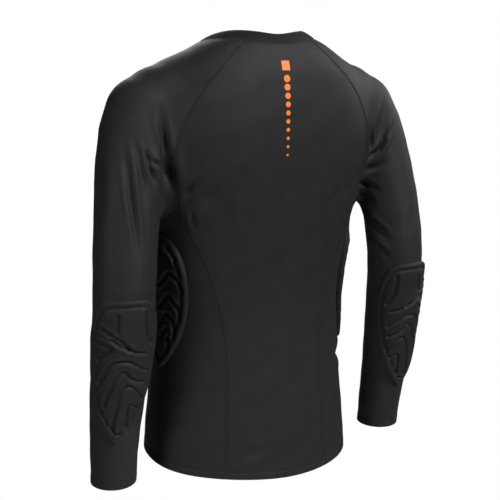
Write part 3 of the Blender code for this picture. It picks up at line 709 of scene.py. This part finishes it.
def makeKnitGroup(name, wale, course, ribs):
    # loops of the knit: columns of the given width, with courses bent round each column; painted shade in
    # the hollows
    group, given, result = newGroup(name, ["Cloth"], ["Height", "ShadeAndMottle"])
    math = partial(mathNode, group)
    split = newNode(group, "SeparateXYZ", {"Vector": given.outputs["Cloth"]})
    wave = math("SINE", math("MULTIPLY", split.outputs[0], np.pi / wale))
    column = math("ABSOLUTE", wave)
    turns = math("MULTIPLY", split.outputs[1], 2 * np.pi / course)
    bent = math("MULTIPLY_ADD", column, 2.2, turns)
    loops = math("MULTIPLY_ADD", math("COSINE", bent), ribs, 1 - ribs)
    height = math("MULTIPLY", column, loops)
    group.links.new(height, result.inputs["Height"])
    noise = newNode(group, "TexNoise", {"Vector": given.outputs["Cloth"], "Scale": 38, "Detail": 5})
    # painted shade: the colour is darkest where the loops are lowest, then times a random mottle
    hollowShade = math("MULTIPLY_ADD", height, 0.22, 0.78)
    mottle = math("MULTIPLY_ADD", noise.outputs[0], 0.5, 0.75)
    group.links.new(math("MULTIPLY", hollowShade, mottle), result.inputs["ShadeAndMottle"])
    return group


prints = {  # the print down the middle of the back: one plain bar, then a column of shrinking dots
    "colour": (0.68, 0.150, 0.026, 1),
    "middle": 0.002,
    "barTop": -0.044,
    "barBottom": -0.058,
    "barHalfWidth": 0.0066,
    "dotsTop": -0.0635,
    "dotsBottom": -0.188,
    "dotPitch": 0.0125,
    "dotRadius": 0.0053,
    "dotShrink": 0.031,  # how fast the radius falls with height, in metres for each metre
}


def makePrintGroup():
    # 1 inside the bar or a dot, 0 outside; only on faces that look back
    group, given, result = newGroup("backPrint", ["Place", "Facing"], ["Mask"])
    math = partial(mathNode, group)
    split = newNode(group, "SeparateXYZ", {"Vector": given.outputs["Place"]})
    side = math("ABSOLUTE", math("SUBTRACT", split.outputs[0], prints["middle"]))
    height = split.outputs[2]

    def between(low, high):
        above = math("GREATER_THAN", height, low)
        return math("MULTIPLY", above, math("LESS_THAN", height, high))

    bar = math("LESS_THAN", side, prints["barHalfWidth"])
    bar = math("MULTIPLY", bar, between(prints["barBottom"], prints["barTop"]))
    fall = math("SUBTRACT", prints["dotsTop"], height)
    cell = math("FRACT", math("DIVIDE", fall, prints["dotPitch"]))
    along = math("MULTIPLY", math("SUBTRACT", cell, 0.5), prints["dotPitch"])
    squares = [math("MULTIPLY", length, length) for length in (side, along)]
    reach = math("SQRT", math("ADD", *squares))
    number = math("FLOOR", math("DIVIDE", fall, prints["dotPitch"]))
    shrink = -prints["dotShrink"] * prints["dotPitch"]
    radius = math("MULTIPLY_ADD", number, shrink, prints["dotRadius"])
    dots = math("LESS_THAN", reach, radius)
    dots = math("MULTIPLY", dots, between(prints["dotsBottom"], prints["dotsTop"]))
    facing = newNode(group, "SeparateXYZ", {"Vector": given.outputs["Facing"]})
    back = math("GREATER_THAN", facing.outputs[1], 0.0)
    mask = math("MULTIPLY", math("MAXIMUM", bar, dots), back)
    group.links.new(mask, result.inputs["Mask"])
    return group


knits = {  # column width, course height and how much the loops show in the columns
    "shirtKnit": (0.0010, 0.0009, 0.35),
    "padKnit": (0.0016, 0.0014, 0.5),
    "ribKnit": (0.0019, 0.0011, 0.2),
}
knitGroups = {name: makeKnitGroup(name, *sizes) for name, sizes in knits.items()}
printGroup = makePrintGroup()


def clothMaterial(name, knit, colour, roughness, bump, printed):
    # dark knit: the base colour times the knit's painted shade in its hollows and a random mottle, a
    # raised knit, and a soft sheen
    material, tree, shader = newMaterial(name)
    cloth = tree.nodes.new("ShaderNodeUVMap")
    cloth.uv_map = "clothMap"
    group = tree.nodes.new("ShaderNodeGroup")
    group.node_tree = knitGroups[knit]
    tree.links.new(cloth.outputs[0], group.inputs["Cloth"])
    # painted shade: the base colour darkens in the knit's hollows
    base = mixNode(tree, group.outputs["ShadeAndMottle"], (0, 0, 0, 1), (*colour, 1))
    rough = mathNode(tree, "MULTIPLY_ADD", group.outputs["ShadeAndMottle"], -0.15, roughness + 0.12)
    if printed:
        place = tree.nodes.new("ShaderNodeTexCoord")
        mask = tree.nodes.new("ShaderNodeGroup")
        mask.node_tree = printGroup
        tree.links.new(place.outputs["Object"], mask.inputs["Place"])
        tree.links.new(place.outputs["Normal"], mask.inputs["Facing"])
        base = mixNode(tree, mask.outputs["Mask"], base, prints["colour"])
        rough = mathNode(tree, "MULTIPLY_ADD", mask.outputs["Mask"], -0.25, rough)
    knitHeight = group.outputs["Height"]
    relief = newNode(tree, "Bump", {"Strength": bump, "Distance": 0.0003, "Height": knitHeight})
    finish = {
        "Base Color": base,
        "Roughness": rough,
        "Normal": relief.outputs["Normal"],
        "Specular IOR Level": 0.12,
        "Sheen Weight": 0.016,
        "Sheen Roughness": 0.35,
        "Sheen Tint": (0.75, 0.77, 0.80, 1),
    }
    for words, value in finish.items():
        give(tree, shader.inputs[words], value)
    return material


finishes = {  # knit, colour, roughness, strength of the raised knit, and whether it has the print
    "shirtCloth": ("shirtKnit", (0.0125, 0.0125, 0.013), 0.60, 0.35, False),
    "backCloth": ("shirtKnit", (0.0125, 0.0125, 0.013), 0.60, 0.35, True),
    "padCloth": ("padKnit", (0.012, 0.012, 0.0125), 0.62, 0.45, False),
    "ribCloth": ("ribKnit", (0.0075, 0.0075, 0.008), 0.72, 0.4, False),
    "thread": ("ribKnit", (0.020, 0.020, 0.021), 0.5, 0.1, False),
}
cloths = {name: clothMaterial(name, *finish) for name, finish in finishes.items()}


def clothSurface(grid):
    return grid - foldDepth(grid)[..., None] * outward(grid)


def makeCloth(name, grid, tube, seams, material):
    # the folded surface, dipped into its seams and raised where the hem is turned double
    level = clothMap(grid, tube)[:, : grid.shape[1]]
    lengths = {name: np.abs(level - level[here]) for name, (here, beside) in gridEdges.items()}
    lengths = {name: away[..., int(name in ("bottom", "top"))] for name, away in lengths.items()}
    neck = necklinePoint(np.arange(0, 361, 6))
    roll = cut["seamRoll"] * smoothStep(*cut["seamRollStart"], lineDistance(grid, neck)[0])
    rise = 0
    for edge in seams:
        rise = rise - roll * bell(lengths[edge] / cut["seamRollWidth"])
    fromHem = lengths["top" if tube else "bottom"]
    aboveHem = fromHem - cut["hemDepth"]
    rise = rise + cut["hemRise"] * (1 - smoothStep(0, cut["hemStep"], aboveHem))
    rise = rise - cut["hemGroove"] * bell(aboveHem / cut["hemGrooveWidth"])
    outer = clothSurface(grid) + rise[..., None] * outward(grid)
    inner = outer - cut["clothWall"] * surfaceNormals(outer, tube)
    piece = makeWall(name + "_cloth", outer, inner, tube, material)
    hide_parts(name)
    print(name, "area", round(surfaceArea(outer, tube), 4), "faces", len(piece.data.polygons))
    return piece


panels = {  # the flat cut of each panel: its seams, then width, length and area before it stretches
    "back_panel": (backGrid, False, ("left", "right"), (0.40, 0.68), 0.152),
    "front_panel": (frontGrid, False, ("left", "right"), (0.40, 0.66), 0.145),
    "side_panel_left": (leftSideGrid, False, ("left", "right", "top"), (0.22, 0.45), 0.092),
    "side_panel_right": (rightSideGrid, False, ("left", "right", "top"), (0.22, 0.45), 0.092),
    "sleeve_left": (leftSleeveGrid, True, ("bottom",), (0.40, 0.67), 0.188),
    "sleeve_right": (rightSleeveGrid, True, ("bottom",), (0.40, 0.67), 0.188),
}
for name, (grid, tube, seams, flat, area) in panels.items():
    finish = "backCloth" if name == "back_panel" else "shirtCloth"
    piece = makeCloth(name, grid, tube, seams, cloths[finish])
print("panels made")

# Pads: raised fields with a rounded rim, a groove inside it and channels pressed in
elbowPad = {  # a channel is a line of pairs: the turn round the arm, and the share of the height
    "top": -0.376,
    "bottom": -0.606,
    "turn": 73,
    "halfTurn": 74,
    "widest": 0.30,
    "thickness": 0.0060,
    "topTaper": 0,  # how much thinner the pad is at its very top, as a share
    "rightTurn": 14,
    "lines": (
        (32, .56, 41, .50, 51, .44, 63, .41, 82, .41, 96, .44, 117, .49),
        (46, .72, 46, .68, 53, .61, 60, .54, 70, .49, 78, .48, 86, .52, 99, .55, 113, .57),
        (62, .91, 64, .83, 68, .73, 72, .65, 78, .60, 86, .58, 99, .61, 112, .67, 127, .72),
        (72, .93, 86, .93, 90, .91, 87, .84, 89, .74, 94, .72, 106, .75),
        (25, .18, 52, .23, 71, .28, 88, .34, 113, .37),
        (52, .26, 67, .30, 82, .33),
        (26, .28, 53, .32, 26, .40),
        (108, .09, 109, .18, 114, .26, 124, .31),
        (60, .10, 59, .21),
    ),
}
sidePad = {
    "top": -0.301,
    "bottom": -0.522,
    "turn": 8,
    "halfTurn": 19,
    "widest": 0.32,
    "thickness": 0.0070,
    "topTaper": 0.85,
    "rightTurn": 0,
    "lines": (
        (11, .37, 15, .31, 18, .27, 22, .32, 24, .38, 26, .44),
        (9, .54, 13, .48, 16, .44, 18, .48, 21, .55, 23, .70, 23, .84),
        (9, .68, 11, .62, 13, .58, 17, .62, 18, .72, 18, .84),
        (14, .76, 14, .88),
        (9, .78, 11, .72, 13, .69),
        (20, .07, 18, .10, 20, .12, 22, .16),
        (22, .19, 24, .14, 25, .12),
        (7, .37, 3, .30, -2, .26, -8, .31),
        (5, .52, 0, .44, -5, .40, -9, .46),
        (5, .68, 1, .60, -3, .56, -7, .62),
        (4, .82, 1, .76, -2, .72),
    ),
}
padForm = {
    "rows": 144,
    "columns": 82,
    "edge": 0.0011,
    "gap": 0.0003,
    "lip": 0.0045,  # length over which the rim rises
    "rimGroove": 0.0105,  # its distance from the outline, half width and depth
    "rimGrooveWidth": 0.0022,
    "rimGrooveDepth": 0.0022,
    "fieldDrop": 0.0007,
    "fieldStart": (0.006, 0.014),  # distances from the outline over which the field drops
    "channelStart": (0.004, 0.012),  # and over which the channels begin
    "channelWidth": 0.0025,
    "channelDepth": 0.0031,
    "channelShoulder": 0.28,  # how high and how far aside, in the channel's depths and half widths
    "channelShoulderPlace": 2.1,
    "topCornerDrop": 0.07,
    "taperEnd": 0.2,
    "thinnest": 0.0008,
}


def padPlaces(pad):
    # s runs across from -1 to 1 and t down from 0 to 1; the outline is the solid pad's own
    s = np.linspace(-1, 1, padForm["columns"] + 1)[None, :]
    t = np.linspace(0, 1, padForm["rows"] + 1)[:, None]
    above = np.clip(1 - t / pad["widest"], 0, 1)
    below = np.clip((t - pad["widest"]) / (1 - pad["widest"]), 0, 1)
    width = np.where(t < pad["widest"], (1 - 0.40 * above**2) ** 0.5, (1 - 0.985 * below**2.2) ** 0.85)
    share = t + padForm["topCornerDrop"] * np.clip(1 - t / 0.3, 0, 1) * np.abs(s) ** 4
    return pad["turn"] + pad["halfTurn"] * width * s, pad["top"] + (pad["bottom"] - pad["top"]) * share


def makePad(name, pad, place, side):
    turn, height = padPlaces(pad)
    extra = pad["rightTurn"] if side < 0 else 0
    turned = np.array([side, 1, 1])
    level = place(turn + extra, height)
    outline = np.concatenate([level[0, ::4], level[5::5, -1], level[-1, -5::-4], level[-6::-5, 0]])
    rim = lineDistance(level, outline)[0]
    thick = padForm["edge"] + (pad["thickness"] - padForm["edge"]) * np.sqrt(
        1 - (1 - np.clip(rim / padForm["lip"], 0, 1)) ** 2)
    thick = thick - padForm["fieldDrop"] * smoothStep(*padForm["fieldStart"], rim)
    groove = bell((rim - padForm["rimGroove"]) / padForm["rimGrooveWidth"])
    thick = thick - padForm["rimGrooveDepth"] * groove
    inside = smoothStep(*padForm["channelStart"], rim)
    for line in pad["lines"]:
        line = np.reshape(line, (-1, 2))
        at = np.linspace(0, len(line) - 1, 4 * len(line))
        line = smoothCurve(at, np.arange(len(line)), line)
        points = place(line[:, 0] + extra, pad["top"] + (pad["bottom"] - pad["top"]) * line[:, 1])
        aside = lineDistance(level, points)[0] / padForm["channelWidth"]
        profile = bell(aside) - padForm["channelShoulder"] * bell(aside - padForm["channelShoulderPlace"])
        thick = thick - padForm["channelDepth"] * profile * inside
    down = np.linspace(0, 1, padForm["rows"] + 1)[:, None]
    taper = pad["topTaper"] * (1 - smoothStep(0, padForm["taperEnd"], down))
    thick = np.maximum(thick * (1 - taper), padForm["thinnest"])
    normal = outward(level) * turned
    under = clothSurface(level * turned) + padForm["gap"] * normal
    over = under + thick[..., None] * normal
    piece = makeWall(name + "_cushion", over, under, False, cloths["padCloth"])
    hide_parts(name)
    print(name, "area", round(surfaceArea(under, False), 4), "faces", len(piece.data.polygons))


for suffix, side in (("left", 1), ("right", -1)):
    makePad("elbow_pad_" + suffix, elbowPad, armPoint, side)
    makePad("side_pad_" + suffix, sidePad, torsoPoint, side)
print("pads made")

# Collar: a rib band folded double, standing on the neckline
collar = {
    "inset": 0.0135,
    "rise": 0.0150,
    "sideLean": 0.0052,
    "bulge": 0.0016,
    "wall": 0.0022,
    "ribs": 300,
    "ribDepth": 0.00022,
    "rows": 14,
    "rounding": 0.0008,  # how far the free edge is drawn in over its last fifth
    "flat": (0.52, 0.022),
    "area": 0.0113,
}


def fromNeckMiddle(points):
    # level directions away from the middle of the neck
    return unit((points - [0, cut["neckMiddle"], 0]) * [1, 1, 0])


def makeCollar():
    angle = np.arange(collar["ribs"] * 4) * 90 / collar["ribs"]
    seam = clothSurface(necklinePoint(angle))
    away = fromNeckMiddle(seam)
    up = np.linspace(0, 1, collar["rows"] + 1)[:, None, None]
    lift = np.array([0, 0, 1.0])
    lean = (collar["sideLean"] * np.cos(np.radians(angle)) ** 2)[:, None]
    run = (collar["rise"] - lean) * lift - (collar["inset"] + lean) * away
    ribs = collar["ribDepth"] * np.cos(np.arange(len(angle)) * np.pi / 2)[:, None]
    rounding = collar["rounding"] * (np.clip(up - 0.8, 0, 1) / 0.2) ** 2
    outer = seam + cut["seamGap"] * lift + up * run
    outer = outer + (collar["bulge"] * 4 * up * (1 - up) + ribs * (1 - up**6) - rounding) * away
    tilt = up * np.arctan2(collar["inset"], collar["rise"])
    inner = outer - (collar["wall"] - rounding) * (np.cos(tilt) * away + np.sin(tilt) * lift)
    piece = makeWall("collar_rib", outer, inner, True, cloths["ribCloth"])
    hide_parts("collar")
    print("collar area", round(surfaceArea(outer, True), 4))


makeCollar()
print("collar made")

# Stitches: short arched threads on the cloth, in rows beside and across the seams
stitches = {
    "pitch": 0.0026,
    "length": 0.0022,
    "thread": 0.00020,  # radius of a thread
    "arch": 0.00022,
    "seamRows": 0.0021,  # distance of the two rows from a seam
    "hemRows": 0.0026,  # distance between the two rows above a hem
    "neckDrop": 0.0040,
    "crossDrop": 0.0002,  # threads across a seam: how deep they lie, their slant and length
    "slant": 0.45,
    "crossLength": 2.1 * 0.0021,
    "hemLift": 0.0001,
}


def threadTemplate():
    # one arched thread along the first axis, of four-sided rings: five rings and their end caps
    share = np.array([-0.5, -0.3, 0, 0.3, 0.5])
    height = stitches["arch"] * (1 - 4 * share**2) + stitches["thread"] * 0.4
    thin = stitches["thread"] * np.array([0.45, 1, 1, 1, 0.45])
    turn = np.radians([45, 135, 225, 315])
    x = np.repeat(share[:, None], 4, axis=1)
    side = thin[:, None] * np.cos(turn)
    points = np.stack([x, side, height[:, None] + thin[:, None] * np.sin(turn)], axis=-1)
    ring = np.arange(4)
    band = np.stack([ring, np.roll(ring, -1), np.roll(ring, -1) + 4, ring + 4], axis=-1)
    faces = [band + 4 * number for number in range(4)]
    caps = [[[3, 2, 1, 0]], [[16, 17, 18, 19]]]
    return points.reshape(-1, 3), np.concatenate(faces + caps)


def surfaceFrames(points, lift):
    # threads on the folded cloth: places, outward directions and directions along the row
    normal = outward(points)
    place = points + (lift - foldDepth(points))[..., None] * normal
    return place, normal, unit(np.gradient(place, axis=0))


def evenRow(points, closed=False):
    if closed:
        points = np.concatenate([points, points[:1]])
    length = np.linalg.norm(np.diff(points, axis=0), axis=-1).sum()
    row = evenSteps(points, int(length / stitches["pitch"]))
    return row[:-1] if closed else row


def makeStitches(name, threads):
    # each thread is the template turned onto its own frame: along, across and outward
    template, cells = threadTemplate()
    centre, along, normal, length = (np.concatenate(part) for part in zip(*threads))
    across = unit(np.cross(normal, along))
    points = (centre[:, None] + template[:, 0, None] * (length[:, None] * along)[:, None]
              + template[:, 1, None] * across[:, None] + template[:, 2, None] * normal[:, None])
    faces = cells + (np.arange(len(centre)) * len(template))[:, None, None]
    mesh = bpy.data.meshes.new(name)
    mesh.from_pydata(points.reshape(-1, 3).tolist(), [], faces.reshape(-1, 4).tolist())
    mesh.uv_layers.new(name="clothMap")
    mesh.shade_smooth()
    mesh.materials.append(cloths["thread"])
    piece = addObject(name, mesh)
    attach(piece, "root")
    print(name, len(centre), "stitches")


def runningRow(points, lift, shift=0.0):
    # a row along the given points, moved sideways over the cloth
    place, normal, ahead = surfaceFrames(points, lift)
    place = place + shift * np.cross(normal, ahead)
    return place, ahead, normal, np.full(len(place), stitches["length"])


def seamThreads(points):
    # two rows beside the seam, and threads slanting across it between them
    points = settle(evenRow(points))[1:-1]
    lift = np.zeros(len(points))
    rows = [runningRow(points, lift, shift) for shift in (-stitches["seamRows"], stitches["seamRows"])]
    place, normal, ahead = surfaceFrames(points, lift - stitches["crossDrop"])
    slant = stitches["slant"] * np.where(np.arange(len(points)) % 2, 1, -1)[:, None]
    cross = unit(np.cross(normal, ahead) + slant * ahead)
    return rows + [(place, cross, normal, np.full(len(place), stitches["crossLength"]))]


def hemThreads(points):
    points = evenRow(points, True)
    return [runningRow(points, np.full(len(points), stitches["hemLift"]))]


seamThread = []
raglan = raglanParts(steps["exact"])
for side in (1, -1):
    lines = [bodySeam("seamBackAngle", raglan[0][0], side, steps["exact"]),
             bodySeam("seamFrontAngle", raglan[1][-1], side, steps["exact"])]
    for line in (*raglan, *lines):
        seamThread += seamThreads(line * np.array([side, 1, 1]))
makeStitches("seam_stitches", seamThread)
hemThread = []
angle = np.arange(720) / 2
for above in (cut["hemDepth"], cut["hemDepth"] + stitches["hemRows"]):
    hemThread += hemThreads(torsoPoint(angle, hemHeight(angle) + above))
    cuffLine = armPoint(angle, cut["cuffHeight"] + above)
    hemThread += hemThreads(cuffLine)
    hemThread += hemThreads(cuffLine * flip)
neck = necklinePoint(angle)
hemThread += hemThreads(settle(neck + stitches["neckDrop"] * fromNeckMiddle(neck), 5))
makeStitches("hem_stitches", hemThread)
print("stitches made")


# Floor, light and camera
studio = {  # the camera stands where the photo was taken from
    "floorHeight": -2.6,
    "floorColour": (0.93, 0.93, 0.93, 1),
    "floorReach": 1.5,
    "worldLight": 0.07,
    "target": (0, 0, -0.353),
    "cameraPlace": (0.700, 1.289, -0.041),
    "lens": 64.8,
    "shiftX": 0.008,
}
lamps = {  # kind, place it shines from, size or angle, strength
    "key": ("SUN", (-0.95, 1.80, 1.35), 0.24, 6.1),
    "left": ("AREA", (2.4, 0.9, -0.1), 0.8, 31),
    "front": ("AREA", (-0.9, -2.8, 1.2), 1.6, 55),
    "right": ("AREA", (-2.4, -0.3, 0.8), 1.0, 26),
}


def plainMaterial(name, colour, roughness):
    # an even pale surface with a faint mottle
    material, tree, shader = newMaterial(name)
    noise = newNode(tree, "TexNoise", {"Scale": 2})
    darker = (*(0.985 * np.array(colour[:3])), 1)
    give(tree, shader.inputs["Base Color"], mixNode(tree, noise.outputs[0], colour, darker))
    give(tree, shader.inputs["Roughness"], roughness)
    return material


def makeFloor():
    reach = studio["floorReach"]
    ends = ((-reach, -reach), (reach, -reach), (reach, reach), (-reach, reach))
    corners = [(x, y, studio["floorHeight"]) for x, y in ends]
    mesh = bpy.data.meshes.new("floor")
    mesh.from_pydata(corners, [], [(0, 1, 2, 3)])
    mesh.materials.append(plainMaterial("paleFloor", studio["floorColour"], 0.9))
    floor = addObject("floor", mesh)


def aim(thing, place, target):
    thing.location = place
    thing.rotation_euler = (Vector(target) - Vector(place)).to_track_quat("-Z", "Y").to_euler()


makeFloor()
world = bpy.data.worlds.new("studio")
bpy.context.scene.world = world
world.use_nodes = True
# seen straight on the world is white, and it lights the shirt only a little
ray = world.node_tree.nodes.new("ShaderNodeLightPath")
strength = mathNode(world.node_tree, "MAXIMUM", ray.outputs["Is Camera Ray"], studio["worldLight"])
background = world.node_tree.nodes["Background"]
give(world.node_tree, background.inputs["Color"], (1, 1, 1, 1))
give(world.node_tree, background.inputs["Strength"], strength)
for name, (kind, place, size, strength) in lamps.items():
    light = bpy.data.lights.new(name, kind)
    setattr(light, "angle" if kind == "SUN" else "size", size)
    light.energy = strength
    aim(addObject(name, light), place, studio["target"])
cameraData = bpy.data.cameras.new("camera")
cameraData.lens = studio["lens"]
cameraData.shift_x = studio["shiftX"]
camera = addObject("camera", cameraData)
aim(camera, studio["cameraPlace"], studio["target"])
bpy.context.scene.camera = camera
bpy.context.scene.view_settings.view_transform = "Standard"
print("studio set")
